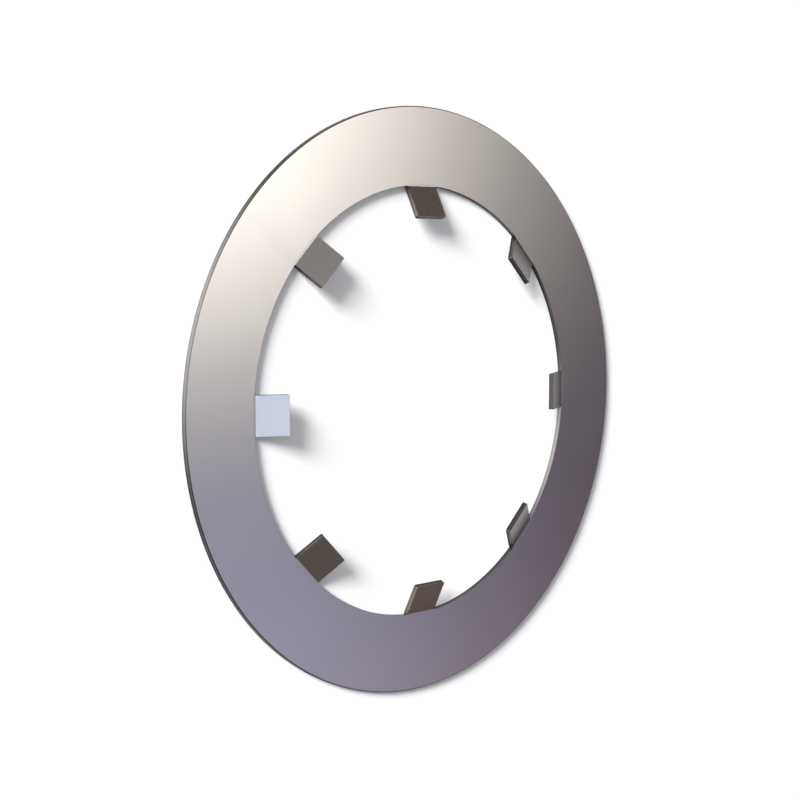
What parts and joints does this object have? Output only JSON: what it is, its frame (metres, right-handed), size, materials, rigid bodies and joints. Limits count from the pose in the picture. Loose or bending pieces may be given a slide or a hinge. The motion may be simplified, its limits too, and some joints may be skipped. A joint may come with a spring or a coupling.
{
  "type": "tab lock washer",
  "caption": "Thin flat ring washer of satin steel sheet, with rectangular locking tabs bent up from its inner edge to grip a shaft.",
  "frame": {"origin": "centre of the ring, on the underside of the sheet", "axes": "+Z along the ring's axis, towards the side that the tabs are bent to; +X through the middle of one tab"},
  "size_m": [0.09, 0.09, 0.0031],
  "materials": {
    "steel": "satin rolled sheet, bare"
  },
  "bodies": {
    "root": {"tab_washer": "steel"}
  },
  "joints": []
}
